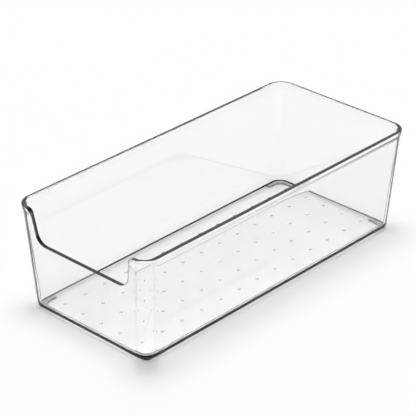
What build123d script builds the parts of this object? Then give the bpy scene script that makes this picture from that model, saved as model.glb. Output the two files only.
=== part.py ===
"""Clear open-top storage bin with a dipped front wall, soft corner feet and grip dots on its floor.

Frame: +Z up, length along Y, the dipped front wall faces -Y, and the origin is under the middle
of the bin, on the surface that the feet stand on. All lengths are in millimetres.
"""
import os

from build123d import *

os.makedirs("parts", exist_ok=True)

# Overall sizes, over the lip of the rim and down to the surface under the feet
bin_length = 254.0
bin_width = 116.5
bin_height = 76.4

# Moulded shell
wall = 2.9
floor = 1.8
draft_in = 5.3
base_corner_radius = 10.0
rim_corner_radius = 11.6
inner_base_corner_radius = 7.0
inner_rim_corner_radius = 6.5
floor_fillet = 2.5
bottom_edge_fillet = 2.0

# Lip of the rim: a short upright band, blended into the wall below by a hollow curve, with a soft inner edge
lip_proud = 0.6
lip_height = 2.0
lip_blend_height = 7.0
lip_edge_fillet = 0.4
rim_inner_fillet = 1.2
blend_rise_shares = (0.0, 0.45, 0.75, 1.0)

# Dip in the front wall: its sides lean outwards, and start this far in from the sides of the bin
dip_depth = 24.3
dip_side_margin = 14.2
dip_side_lean = 5.2
dip_bottom_radius = 7.0
dip_shoulder_radius = 4.5

# Soft feet under the base corners
foot_height = 1.5
foot_width = 4.4
foot_arm = 13.0
foot_margin = 2.6
foot_bend_radius = 7.3
foot_edge_fillet = 0.4

# Soft grip dots on the floor, as many as fit inside the margin to the walls
dot_pitch_x = 16.8
dot_pitch_y = 17.9
dot_margin = 8.0
dot_diameter = 2.6
dot_top_diameter = 1.4
dot_height = 0.7

# All cuts run past the faces that they open by this much
overrun = 3.0

# Heights and plan sizes that follow from the sizes above
base_z = foot_height
floor_z = base_z + floor
rim_z = bin_height
shell_height = rim_z - base_z
dip_z = rim_z - dip_depth
lip_z = rim_z - lip_height
blend_z = lip_z - lip_blend_height

rim_length = bin_length - 2 * lip_proud
rim_width = bin_width - 2 * lip_proud
base_length = rim_length - 2 * draft_in
base_width = rim_width - 2 * draft_in

dip_top_width = bin_width - 2 * dip_side_margin
dip_bottom_width = dip_top_width - 2 * dip_side_lean


def drafted(height):
    """Growth of the outer wall, on each side, from the base up to this height."""
    return draft_in * (height - base_z) / shell_height


def corner_radius(height, base_radius, rim_radius):
    """Corner radius at this height, between those at the base and at the rim."""
    return base_radius + (rim_radius - base_radius) * (height - base_z) / shell_height


def plan_outline(height, proud):
    """Rounded outline of the outer wall at this height, moved outwards by proud."""
    grow = drafted(height) + proud
    radius = corner_radius(height, base_corner_radius, rim_corner_radius) + proud
    RectangleRounded(base_width + 2 * grow, base_length + 2 * grow, radius)


def inside_outline(height):
    """Rounded outline of the inside of the wall at this height, with corners of its own."""
    grow = drafted(height) - wall
    radius = corner_radius(height, inner_base_corner_radius, inner_rim_corner_radius)
    RectangleRounded(base_width + 2 * grow, base_length + 2 * grow, radius)


# The lip stands upright, so at its foot it is further from the drafted wall than at the rim
lip_over_wall = lip_proud + drafted(rim_z) - drafted(lip_z)

# The shell: a drafted body with the lip's sections at its top, hollowed, dipped and rounded
with BuildPart() as bin_shell:
    with BuildSketch(Plane.XY.offset(base_z)):
        plan_outline(base_z, 0)
    for share in blend_rise_shares:
        section_z = blend_z + lip_blend_height * share
        with BuildSketch(Plane.XY.offset(section_z)):
            plan_outline(section_z, lip_over_wall * share**2)
    with BuildSketch(Plane.XY.offset(rim_z)):
        plan_outline(lip_z, lip_over_wall)
    loft(ruled=True)

    with BuildSketch(Plane.XY.offset(floor_z)):
        inside_outline(floor_z)
    with BuildSketch(Plane.XY.offset(rim_z)):
        inside_outline(rim_z)
    loft(ruled=True, mode=Mode.SUBTRACT)

    floor_face = bin_shell.faces().filter_by(Axis.Z).sort_by(Axis.Z)[1]
    fillet(floor_face.edges(), floor_fillet)
    bottom_face = bin_shell.faces().sort_by(Axis.Z)[0]
    fillet(bottom_face.edges(), bottom_edge_fillet)
    rim_face = bin_shell.faces().sort_by(Axis.Z)[-1]
    fillet(rim_face.inner_wires()[0].edges(), rim_inner_fillet)
    rim_face = bin_shell.faces().sort_by(Axis.Z)[-1]
    fillet(rim_face.outer_wire().edges(), lip_edge_fillet)

    with BuildSketch(Plane.XZ.offset(bin_length / 2 - draft_in - wall - overrun)) as dip:
        with BuildLine():
            Polyline(
                (-bin_width / 2, rim_z),
                (-dip_top_width / 2, rim_z),
                (-dip_bottom_width / 2, dip_z),
                (dip_bottom_width / 2, dip_z),
                (dip_top_width / 2, rim_z),
                (bin_width / 2, rim_z),
                (bin_width / 2, rim_z + overrun),
                (-bin_width / 2, rim_z + overrun),
                close=True,
            )
        make_face()
        low_corners = dip.vertices().group_by(Axis.Y)[0]
        fillet(low_corners, dip_bottom_radius)
        shoulders = dip.vertices().filter_by_position(Axis.Y, rim_z, rim_z).sort_by(Axis.X)[1:-1]
        fillet(shoulders, dip_shoulder_radius)
    extrude(amount=draft_in + wall + 2 * overrun, mode=Mode.SUBTRACT)

bin_shell.part.label = "bin_shell"
export_step(bin_shell.part, "parts/bin_shell.step")

# One soft foot: an L-shaped pad that follows the base corner, modelled at the back right corner
corner_x = base_width / 2 - foot_margin - foot_width / 2
corner_y = base_length / 2 - foot_margin - foot_width / 2

with BuildPart() as foot:
    with BuildSketch():
        with BuildLine() as spine:
            FilletPolyline(
                (corner_x - foot_arm, corner_y),
                (corner_x, corner_y),
                (corner_x, corner_y - foot_arm),
                radius=foot_bend_radius,
            )
        trace(spine.line, foot_width)
    extrude(amount=foot_height)
    fillet(foot.faces().sort_by(Axis.Z)[0].edges(), foot_edge_fillet)

for end, mirror_end in (("back", False), ("front", True)):
    for side, mirror_side in (("right", False), ("left", True)):
        placed = foot.part
        if mirror_end:
            placed = placed.mirror(Plane.XZ)
        if mirror_side:
            placed = placed.mirror(Plane.YZ)
        placed.label = f"foot_{end}_{side}"
        export_step(placed, f"parts/foot_{end}_{side}.step")

# The grip dots: low tapered buttons, each one a separate solid that sits flat on the floor
with BuildPart() as dot:
    with BuildSketch(Plane.XY.offset(floor_z)):
        Circle(dot_diameter / 2)
    with BuildSketch(Plane.XY.offset(floor_z + dot_height)):
        Circle(dot_top_diameter / 2)
    loft()

floor_width = base_width + 2 * (drafted(floor_z) - wall)
floor_length = base_length + 2 * (drafted(floor_z) - wall)
dot_columns = int((floor_width - 2 * dot_margin) / dot_pitch_x) + 1
dot_rows = int((floor_length - 2 * dot_margin) / dot_pitch_y) + 1

dot_places = GridLocations(dot_pitch_x, dot_pitch_y, dot_columns, dot_rows)
grip_dots = Compound(children=[place * dot.part.solid() for place in dot_places])
grip_dots.label = "grip_dots"
export_step(grip_dots, "parts/grip_dots.step")
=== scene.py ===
import math

import bpy
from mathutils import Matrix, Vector


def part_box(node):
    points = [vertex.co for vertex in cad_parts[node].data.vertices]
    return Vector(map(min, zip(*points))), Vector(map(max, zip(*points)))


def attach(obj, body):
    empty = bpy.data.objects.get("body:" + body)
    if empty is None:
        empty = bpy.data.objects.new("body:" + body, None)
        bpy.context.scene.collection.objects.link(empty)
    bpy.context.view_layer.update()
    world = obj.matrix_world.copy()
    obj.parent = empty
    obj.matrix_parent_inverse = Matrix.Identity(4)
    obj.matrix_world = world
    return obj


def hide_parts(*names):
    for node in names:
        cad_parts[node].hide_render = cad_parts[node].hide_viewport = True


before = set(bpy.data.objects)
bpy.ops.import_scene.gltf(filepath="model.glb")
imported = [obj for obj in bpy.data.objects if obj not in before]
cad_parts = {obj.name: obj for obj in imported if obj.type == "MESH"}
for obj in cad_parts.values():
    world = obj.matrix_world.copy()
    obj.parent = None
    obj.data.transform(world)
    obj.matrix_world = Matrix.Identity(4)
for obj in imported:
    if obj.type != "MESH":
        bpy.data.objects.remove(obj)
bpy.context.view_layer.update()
mm = 0.001
near = 0.05 * mm        # closer than this counts as the same place

print("frame loaded:", len(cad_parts), "nodes")


# small helpers, used by every piece

def deselectAll():
    if bpy.context.object and bpy.context.object.mode != "OBJECT":
        bpy.ops.object.mode_set(mode="OBJECT")
    bpy.ops.object.select_all(action="DESELECT")


def pickOnly(piece):
    deselectAll()
    piece.select_set(True)
    bpy.context.view_layer.objects.active = piece


def applyModifier(piece, kind, **settings):
    pickOnly(piece)
    modifier = piece.modifiers.new(kind.title(), kind)
    for key, value in settings.items():
        setattr(modifier, key, value)
    bpy.ops.object.modifier_apply(modifier=modifier.name)


def selectWhere(piece, part, test):
    # picks vertices, edges or faces of a piece in edit mode by where they are
    bpy.ops.mesh.select_mode(type={"vertices": "VERT", "edges": "EDGE", "polygons": "FACE"}[part])
    bpy.ops.mesh.select_all(action="DESELECT")
    bpy.ops.object.mode_set(mode="OBJECT")
    mesh = piece.data
    for item in getattr(mesh, part):
        if part == "vertices":
            item.select = test(item.co)
        elif part == "edges":
            item.select = all(test(mesh.vertices[v].co) for v in item.vertices)
        else:
            item.select = test(item.center)
    bpy.ops.object.mode_set(mode="EDIT")


def startPiece(name):
    # an empty mesh in edit mode, at the origin
    deselectAll()
    bpy.ops.mesh.primitive_plane_add(size=mm)
    piece = bpy.context.object
    piece.name = name
    bpy.ops.object.mode_set(mode="EDIT")
    bpy.ops.mesh.select_all(action="SELECT")
    bpy.ops.mesh.delete(type="VERT")
    return piece


def finishPiece(piece, smoothAngle, slot, *nodes):
    pickOnly(piece)
    bpy.ops.object.shade_smooth_by_angle(angle=smoothAngle)
    applyModifier(piece, "WEIGHTED_NORMAL", keep_sharp=True)
    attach(piece, "root")
    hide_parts(*nodes)
    print(piece.name + ":", len(piece.data.polygons), "faces")


# clear moulded shell, with a hollow blend under the lip and a soft inner edge on the rim

shell = {
    "wall": 2.9 * mm,
    "floor": 1.8 * mm,
    "draft": 5.3 * mm,
    "baseCorner": 10.0 * mm,
    "rimCorner": 11.6 * mm,
    "innerBaseCorner": 7.0 * mm,
    "innerRimCorner": 6.5 * mm,
    "lipProud": 0.6 * mm,
    "lipHeight": 2.0 * mm,
    "lipBlend": 7.0 * mm,
    "rimInnerRound": 1.2 * mm,
    "edgeRound": 0.4 * mm,
    "floorFillet": 3.0 * mm,
    "bottomFillet": 2.2 * mm,
    "blendRings": 10,
    "cornerSegments": 20,
    "filletSegments": 6,
    "sharpAngle": math.radians(50),
    "smoothAngle": math.radians(35),
}

dip = {
    "depth": 24.3 * mm,
    "sideMargin": 14.2 * mm,
    "sideLean": 4.4 * mm,
    "bottomRadius": 7.8 * mm,
    "shoulderRadius": 4.5 * mm,
    "arcSegments": 16,
    "overrun": 3.0 * mm,
    "lift": 0.02 * mm,      # keeps the cut clear of the rim's own plane
}

shellLow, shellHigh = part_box("bin_shell")
halfWidth = shellHigh.x
halfLength = shellHigh.y
baseZ = shellLow.z
rimZ = shellHigh.z
floorZ = baseZ + shell["floor"]
lipZ = rimZ - shell["lipHeight"]
blendZ = lipZ - shell["lipBlend"]


def risen(height):
    return (height - baseZ) / (rimZ - baseZ)


def wallOutline(height, out):
    # how far in from the lip the drafted wall is at this height, moved outwards by out, and its corner radius
    inset = shell["lipProud"] + shell["draft"] * (1 - risen(height)) - out
    radius = shell["baseCorner"] + (shell["rimCorner"] - shell["baseCorner"]) * risen(height) + out
    return inset, radius


def innerOutline(height):
    # the inside of the wall, which has corners of its own
    inset, _ = wallOutline(height, -shell["wall"])
    radius = shell["innerBaseCorner"] + (shell["innerRimCorner"] - shell["innerBaseCorner"]) * risen(height)
    return inset, radius


def addRing(inset, radius, height):
    bpy.ops.mesh.select_all(action="DESELECT")
    bpy.ops.mesh.primitive_plane_add(size=2, location=(0, 0, height))
    bpy.ops.transform.resize(value=(halfWidth - inset, halfLength - inset, 1))
    bpy.ops.mesh.bevel(offset_type="ABSOLUTE", offset=radius, segments=shell["cornerSegments"],
                       profile=0.5, affect="VERTICES")


def selectOpenEdges():
    bpy.ops.mesh.select_mode(type="EDGE")
    bpy.ops.mesh.select_all(action="DESELECT")
    bpy.ops.mesh.select_non_manifold(use_wire=True, use_boundary=True, use_multi_face=False,
                                     use_non_contiguous=False, use_verts=False)


def makeShell():
    lipOut = shell["lipProud"] + shell["draft"] * (1 - risen(lipZ))
    rings = []
    for step in range(shell["blendRings"] + 1):
        share = step / shell["blendRings"]
        height = blendZ + shell["lipBlend"] * share
        rings.append((*wallOutline(height, lipOut * share ** 2), height))
    rings.append((*wallOutline(lipZ, lipOut), rimZ))
    rings.append((*innerOutline(rimZ), rimZ + shell["wall"]))
    rings.append((*innerOutline(floorZ), floorZ))

    piece = startPiece("bin_shell_clear")
    addRing(*wallOutline(baseZ, 0), baseZ)
    for ring in rings:
        addRing(*ring)
        bpy.ops.mesh.delete(type="ONLY_FACE")
        selectOpenEdges()
        bpy.ops.mesh.bridge_edge_loops()
        bpy.ops.mesh.select_mode(type="VERT")
    selectOpenEdges()
    bpy.ops.mesh.edge_face_add()
    bpy.ops.mesh.select_all(action="SELECT")
    bpy.ops.mesh.normals_make_consistent(inside=False)

    # the inner ring of the rim was bridged from above, so that the bridge runs straight
    selectWhere(piece, "vertices", lambda co: co.z > rimZ + 0.5 * shell["wall"])
    bpy.ops.transform.translate(value=(0, 0, -shell["wall"]))
    bpy.ops.mesh.bevel(offset=shell["rimInnerRound"], segments=2 * shell["filletSegments"],
                       profile=0.5, affect="EDGES")
    for height, width in ((floorZ, shell["floorFillet"]), (baseZ, shell["bottomFillet"])):
        selectWhere(piece, "edges", lambda co, height=height: abs(co.z - height) < near)
        bpy.ops.mesh.bevel(offset=width, segments=shell["filletSegments"], profile=0.5, affect="EDGES")
    bpy.ops.object.mode_set(mode="OBJECT")
    return piece


def makeDipCutter():
    topHalf = halfWidth - dip["sideMargin"]
    bottomHalf = topHalf - dip["sideLean"]
    lineZ = rimZ + dip["lift"]
    bottomZ = rimZ - dip["depth"]
    frontY = -halfLength - dip["overrun"]
    reach = shell["draft"] + shell["wall"] + 2 * dip["overrun"]

    deselectAll()
    bpy.ops.mesh.primitive_plane_add(size=2, location=(0, frontY, lineZ + dip["overrun"]),
                                     rotation=(math.radians(90), 0, 0))
    cutter = bpy.context.object
    cutter.name = "dip_cutter"
    cutter.scale = (halfWidth + dip["overrun"], dip["overrun"], 1)
    bpy.ops.object.transform_apply(location=True, rotation=True, scale=True)
    bpy.ops.object.mode_set(mode="EDIT")
    selectWhere(cutter, "edges", lambda co: co.z < lineZ + near)
    bpy.ops.mesh.subdivide(number_cuts=2)
    bpy.ops.object.mode_set(mode="OBJECT")
    for vertex in cutter.data.vertices:
        if vertex.co.z < lineZ + near and abs(vertex.co.x) < halfWidth:
            vertex.co.x = math.copysign(topHalf, vertex.co.x)
    bpy.ops.object.mode_set(mode="EDIT")
    selectWhere(cutter, "edges", lambda co: co.z < lineZ + near and abs(co.x) < halfWidth)
    bpy.ops.mesh.extrude_region_move(TRANSFORM_OT_translate={"value": (0, 0, bottomZ - lineZ)})
    bpy.ops.transform.resize(value=(bottomHalf / topHalf, 1, 1))
    bpy.ops.mesh.select_all(action="SELECT")
    bpy.ops.mesh.dissolve_faces()

    # the turn at each corner of the dip says how far along its sides a round of that radius starts
    turn = math.atan2(lineZ - bottomZ, topHalf - bottomHalf)
    for height, radius in ((bottomZ, dip["bottomRadius"]), (lineZ, dip["shoulderRadius"])):
        selectWhere(cutter, "vertices", lambda co, height=height: abs(co.z - height) < near
                    and abs(co.x) < halfWidth)
        bpy.ops.mesh.bevel(offset_type="ABSOLUTE", offset=radius * math.tan(turn / 2),
                           segments=dip["arcSegments"], profile=0.5, affect="VERTICES")
    bpy.ops.mesh.select_all(action="SELECT")
    bpy.ops.mesh.extrude_region_move(TRANSFORM_OT_translate={"value": (0, reach, 0)})
    bpy.ops.mesh.select_all(action="SELECT")
    bpy.ops.mesh.normals_make_consistent(inside=False)
    bpy.ops.object.mode_set(mode="OBJECT")
    return cutter


binShell = makeShell()
dipCutter = makeDipCutter()
applyModifier(binShell, "BOOLEAN", operation="DIFFERENCE", object=dipCutter, solver="EXACT")
bpy.data.objects.remove(dipCutter)
applyModifier(binShell, "BEVEL", width=shell["edgeRound"], segments=shell["filletSegments"],
              limit_method="ANGLE", angle_limit=shell["sharpAngle"], use_clamp_overlap=False)
finishPiece(binShell, shell["smoothAngle"], "clear_shell", "bin_shell")


# soft feet, one L under each corner

foot = {
    "width": 4.4 * mm,
    "bend": 7.3 * mm,
    "endRound": 0.8 * mm,
    "edgeRound": 0.7 * mm,
    "bendSegments": 8,
    "roundSegments": 4,
    "seat": 0.03 * mm,      # thin gap to the shell, so that no two faces share a plane
    "sharpAngle": math.radians(60),
    "smoothAngle": math.radians(35),
}


def makeFoot(node):
    low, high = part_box(node)
    sideX = math.copysign(1, low.x + high.x)
    sideY = math.copysign(1, low.y + high.y)
    outerX = max(abs(low.x), abs(high.x))
    outerY = max(abs(low.y), abs(high.y))
    innerX = min(abs(low.x), abs(high.x))
    innerY = min(abs(low.y), abs(high.y))
    width = foot["width"]

    # the square at the corner first, then an arm drawn out of each of its inner sides
    piece = startPiece(node + "_soft")
    bpy.ops.mesh.primitive_plane_add(size=width, location=(outerX - width / 2, outerY - width / 2, low.z))
    selectWhere(piece, "edges", lambda co: co.x < outerX - width + near)
    bpy.ops.mesh.extrude_region_move(TRANSFORM_OT_translate={"value": (innerX - outerX + width, 0, 0)})
    selectWhere(piece, "edges", lambda co: co.y < outerY - width + near and co.x > outerX - width - near)
    bpy.ops.mesh.extrude_region_move(TRANSFORM_OT_translate={"value": (0, innerY - outerY + width, 0)})
    bpy.ops.mesh.select_all(action="SELECT")
    bpy.ops.mesh.dissolve_faces()

    outerCorner = Vector((outerX, outerY, low.z))
    innerCorner = outerCorner - Vector((width, width, 0))
    outerRadius = foot["bend"] + width / 2
    innerRadius = foot["bend"] - width / 2
    for corner, radius in ((outerCorner, outerRadius), (innerCorner, innerRadius)):
        selectWhere(piece, "vertices", lambda co, corner=corner: (co - corner).length < near)
        bpy.ops.mesh.bevel(offset_type="ABSOLUTE", offset=radius, segments=foot["bendSegments"],
                           profile=0.5, affect="VERTICES")
    selectWhere(piece, "vertices", lambda co: co.x < innerX + near or co.y < innerY + near)
    bpy.ops.mesh.bevel(offset_type="ABSOLUTE", offset=foot["endRound"], segments=foot["roundSegments"],
                       profile=0.5, affect="VERTICES")
    bpy.ops.mesh.select_all(action="SELECT")
    bpy.ops.mesh.extrude_region_move(TRANSFORM_OT_translate={"value": (0, 0, high.z - low.z - foot["seat"])})
    bpy.ops.mesh.select_all(action="SELECT")
    bpy.ops.transform.resize(value=(sideX, sideY, 1), center_override=(0, 0, 0))
    bpy.ops.mesh.normals_make_consistent(inside=False)
    bpy.ops.object.mode_set(mode="OBJECT")
    applyModifier(piece, "BEVEL", width=foot["edgeRound"], segments=foot["roundSegments"],
                  limit_method="ANGLE", angle_limit=foot["sharpAngle"], use_clamp_overlap=False)
    finishPiece(piece, foot["smoothAngle"], "soft_clear", node)
    return piece


feet = [makeFoot(node) for node in sorted(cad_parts) if node.startswith("foot_")]


# soft grip dots on the floor: one low dome, repeated in rows

dots = {
    "columns": 5,
    "rows": 13,
    "pitchX": 16.8 * mm,
    "pitchY": 17.9 * mm,
    "radius": 1.3 * mm,
    "segments": 20,
    "rings": 10,
    "seat": 0.03 * mm,      # thin gap to the floor, so that no two faces share a plane
    "smoothAngle": math.radians(40),
}


def makeDots():
    low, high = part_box("grip_dots")
    height = high.z - low.z
    ball = (dots["radius"] ** 2 + height ** 2) / (2 * height)
    topZ = floorZ + height
    firstX = -dots["pitchX"] * (dots["columns"] - 1) / 2
    firstY = -dots["pitchY"] * (dots["rows"] - 1) / 2
    piece = startPiece("grip_dots_soft")
    bpy.ops.mesh.primitive_uv_sphere_add(segments=dots["segments"], ring_count=dots["rings"], radius=ball,
                                         location=(firstX, firstY, topZ - ball))
    bpy.ops.mesh.select_all(action="SELECT")
    bpy.ops.mesh.bisect(plane_co=(0, 0, floorZ + dots["seat"]), plane_no=(0, 0, -1),
                        use_fill=True, clear_outer=True)
    bpy.ops.object.mode_set(mode="OBJECT")
    across = (dots["columns"], (dots["pitchX"], 0, 0))
    along = (dots["rows"], (0, dots["pitchY"], 0))
    for count, offset in (across, along):
        applyModifier(piece, "ARRAY", count=count, use_relative_offset=False, use_constant_offset=True,
                      constant_offset_displace=offset)
    finishPiece(piece, dots["smoothAngle"], "soft_dot", "grip_dots")
    return piece


gripDots = makeDots()


# clear plastic and soft clear rubber

flatFrom = 0.985        # a face this square to an axis is flat


def newMaterial(name):
    material = bpy.data.materials.new(name)
    material.use_nodes = True
    material.node_tree.nodes.clear()
    return material, material.node_tree.nodes, material.node_tree.links


def addNoise(nodes, links, scale, detail):
    place = nodes.new("ShaderNodeTexCoord")
    noise = nodes.new("ShaderNodeTexNoise")
    noise.inputs["Scale"].default_value = scale
    noise.inputs["Detail"].default_value = detail
    links.new(place.outputs["Object"], noise.inputs["Vector"])
    return noise


def addMath(nodes, links, operation, *values):
    step = nodes.new("ShaderNodeMath")
    step.operation = operation
    for index, value in enumerate(values):
        if isinstance(value, float):
            step.inputs[index].default_value = value
        else:
            links.new(value, step.inputs[index])
    return step.outputs[0]


def keepFlatsClear(nodes, links, share):
    # the painted edge shade stays off a flat face seen from outside, however low it is seen; the rounds, and
    # faces met from inside, take the painted shade
    surface = nodes.new("ShaderNodeNewGeometry")
    parts = nodes.new("ShaderNodeSeparateXYZ")
    links.new(surface.outputs["True Normal"], parts.inputs[0])
    most = 0.0
    for part in parts.outputs:
        most = addMath(nodes, links, "MAXIMUM", addMath(nodes, links, "ABSOLUTE", part), most)
    flat = addMath(nodes, links, "GREATER_THAN", most, flatFrom)
    outside = addMath(nodes, links, "SUBTRACT", 1.0, surface.outputs["Backfacing"])
    keep = addMath(nodes, links, "SUBTRACT", 1.0, addMath(nodes, links, "MULTIPLY", flat, outside))
    return addMath(nodes, links, "MULTIPLY", share, keep)


def makeClear(name, look):
    material, nodes, links = newMaterial(name)
    output = nodes.new("ShaderNodeOutputMaterial")
    shader = nodes.new("ShaderNodeBsdfPrincipled")
    shader.inputs["IOR"].default_value = look["ior"]
    shader.inputs["Transmission Weight"].default_value = 1.0
    links.new(shader.outputs["BSDF"], output.inputs["Surface"])

    # seen edge-on, the colour turns to a painted edge shade, which stands in for the dark edges that light
    # bent inside the clear stuff gives
    edge = nodes.new("ShaderNodeLayerWeight")
    share = nodes.new("ShaderNodeMapRange")
    share.inputs["From Min"].default_value = look["paintedShadeFrom"]
    share.inputs["From Max"].default_value = look["paintedShadeTo"]
    links.new(edge.outputs["Facing"], share.inputs["Value"])
    tintAndPaintedShade = nodes.new("ShaderNodeMix")
    tintAndPaintedShade.data_type = "RGBA"
    tintAndPaintedShade.inputs["A"].default_value = (*look["tintAndPaintedShade"], 1)
    tintAndPaintedShade.inputs["B"].default_value = (*look["paintedEdgeShade"], 1)
    links.new(keepFlatsClear(nodes, links, share.outputs["Result"]), tintAndPaintedShade.inputs["Factor"])
    links.new(tintAndPaintedShade.outputs["Result"], shader.inputs["Base Color"])

    # faint mould marks: the polish varies a little from place to place, and the face is never quite flat
    polish = addNoise(nodes, links, look["polishScale"], look["polishDetail"])
    spread = nodes.new("ShaderNodeMapRange")
    spread.inputs["To Min"].default_value = look["roughness"][0]
    spread.inputs["To Max"].default_value = look["roughness"][1]
    links.new(polish.outputs["Fac"], spread.inputs["Value"])
    links.new(spread.outputs["Result"], shader.inputs["Roughness"])
    waves = addNoise(nodes, links, look["waveScale"], look["waveDetail"])
    bump = nodes.new("ShaderNodeBump")
    bump.inputs["Strength"].default_value = look["waveStrength"]
    bump.inputs["Distance"].default_value = look["waveDepth"]
    links.new(waves.outputs["Fac"], bump.inputs["Height"])
    links.new(bump.outputs["Normal"], shader.inputs["Normal"])

    if look["depth"] > 0:
        absorb = nodes.new("ShaderNodeVolumeAbsorption")
        absorb.inputs["Color"].default_value = (*look["depthTint"], 1)
        absorb.inputs["Density"].default_value = look["depth"]
        links.new(absorb.outputs["Volume"], output.inputs["Volume"])
    return material


plasticLook = {
    "tintAndPaintedShade": (0.97, 0.973, 0.978),
    # painted edge shade: the near-black colour the rounds take where they are seen edge-on
    "paintedEdgeShade": (0.002, 0.002, 0.004),
    "paintedShadeFrom": 0.53,
    "paintedShadeTo": 0.58,
    "ior": 1.52,
    "roughness": (0.0, 0.012),
    "polishScale": 60.0,
    "polishDetail": 2,
    "waveScale": 25.0,
    "waveDetail": 1,
    "waveStrength": 0.02,
    "waveDepth": 0.02 * mm,
    "depthTint": (0.0, 0.0, 0.0),
    "depth": 6.0,       # how fast the light fades inside, per metre
}
rubberLook = {
    "tintAndPaintedShade": (0.97, 0.98, 0.99),
    # painted edge shade: the grey colour the dots and pads take where they are seen edge-on
    "paintedEdgeShade": (0.2, 0.21, 0.24),
    "paintedShadeFrom": 0.56,
    "paintedShadeTo": 0.74,
    "ior": 1.46,
    "roughness": (0.02, 0.08),
    "polishScale": 400.0,
    "polishDetail": 2,
    "waveScale": 900.0,
    "waveDetail": 1,
    "waveStrength": 0.05,
    "waveDepth": 0.02 * mm,
    "depth": 0.0,
}

# the round upper edge of a soft pad turns the light away and shows a dark outline round the pad; here that
# outline is painted shade, a near-black colour on the faces of that round
paintedPadOutlineLook = dict(
    rubberLook,
    # painted shade: the near-black colour that draws the pad's dark outline
    tintAndPaintedShade=(0.003, 0.003, 0.004),
    paintedEdgeShade=(0.001, 0.001, 0.001),
    roughness=(0.25, 0.4),
)
paintedPadOutlineUp = (0.05, 0.93)        # which faces of that round take the painted outline: how far up they look, from the low end to the top

clearPlastic = makeClear("clear_plastic", plasticLook)
clearRubber = makeClear("clear_rubber", rubberLook)
paintedPadOutline = makeClear("clear_rubber_painted_outline", paintedPadOutlineLook)


def dress(piece, *materials):
    piece.data.materials.clear()
    for material in materials:
        piece.data.materials.append(material)


dress(binShell, clearPlastic)
dress(gripDots, clearRubber)
for pad in feet:
    dress(pad, clearRubber, paintedPadOutline)
    for face in pad.data.polygons:
        # the faces of the pad's round take the painted dark outline
        if paintedPadOutlineUp[0] < face.normal.z < paintedPadOutlineUp[1]:
            face.material_index = 1
print("materials set")


# floor, light and camera

# each light of the sky has a direction, how narrow it is and a strength
studio = {
    "floorSize": 6.0,
    "floorColour": (0.96, 0.96, 0.96),
    "fill": 0.36,
    "overhead": (Vector((-0.08, 0.08, 0.99)), 36.0, 11.4),
    "backdrop": (Vector((-0.60, 0.63, 0.50)), 5.0, 0.55),
}

deselectAll()
bpy.ops.mesh.primitive_plane_add(size=studio["floorSize"], location=(0, 0, 0))
studioFloor = bpy.context.object
studioFloor.name = "studio_floor"

floorMaterial, nodes, links = newMaterial("studio_white")
output = nodes.new("ShaderNodeOutputMaterial")
diffuse = nodes.new("ShaderNodeBsdfDiffuse")
diffuse.inputs["Color"].default_value = (*studio["floorColour"], 1)
links.new(diffuse.outputs["BSDF"], output.inputs["Surface"])
studioFloor.data.materials.append(floorMaterial)


def makeStudioLight():
    # an even white dome, a soft light overhead and a broad bright backdrop at the back left
    world = bpy.data.worlds.new("studio")
    bpy.context.scene.world = world
    world.use_nodes = True
    nodes = world.node_tree.nodes
    links = world.node_tree.links
    place = nodes.new("ShaderNodeTexCoord")
    total = studio["fill"]
    for direction, narrow, strength in (studio["overhead"], studio["backdrop"]):
        towards = nodes.new("ShaderNodeVectorMath")
        towards.operation = "DOT_PRODUCT"
        towards.inputs[1].default_value = direction.normalized()
        links.new(place.outputs["Generated"], towards.inputs[0])
        last = towards.outputs["Value"]
        for operation, value in (("MAXIMUM", 0.0), ("POWER", narrow), ("MULTIPLY", strength)):
            last = addMath(nodes, links, operation, last, value)
        total = addMath(nodes, links, "ADD", total, last)
    nodes["Background"].inputs["Color"].default_value = (1, 1, 1, 1)
    links.new(total, nodes["Background"].inputs["Strength"])


makeStudioLight()

view = {
    "from": Vector((0.7672, -0.8273, 0.6581)),
    "at": Vector((-0.1434, 0.1428, -0.0670)),
    "lens": 168.2,
    "sensor": 36.0,
}
cameraData = bpy.data.cameras.new("photo_view")
cameraData.lens = view["lens"]
cameraData.sensor_width = view["sensor"]
camera = bpy.data.objects.new("photo_view", cameraData)
bpy.context.scene.collection.objects.link(camera)
camera.location = view["from"]
camera.rotation_euler = (view["at"] - view["from"]).to_track_quat("-Z", "Y").to_euler()
bpy.context.scene.camera = camera
bpy.context.scene.view_settings.view_transform = "Standard"
bpy.context.scene.cycles.blur_glossy = 0.0      # keeps what is seen through the clear walls sharp and bright
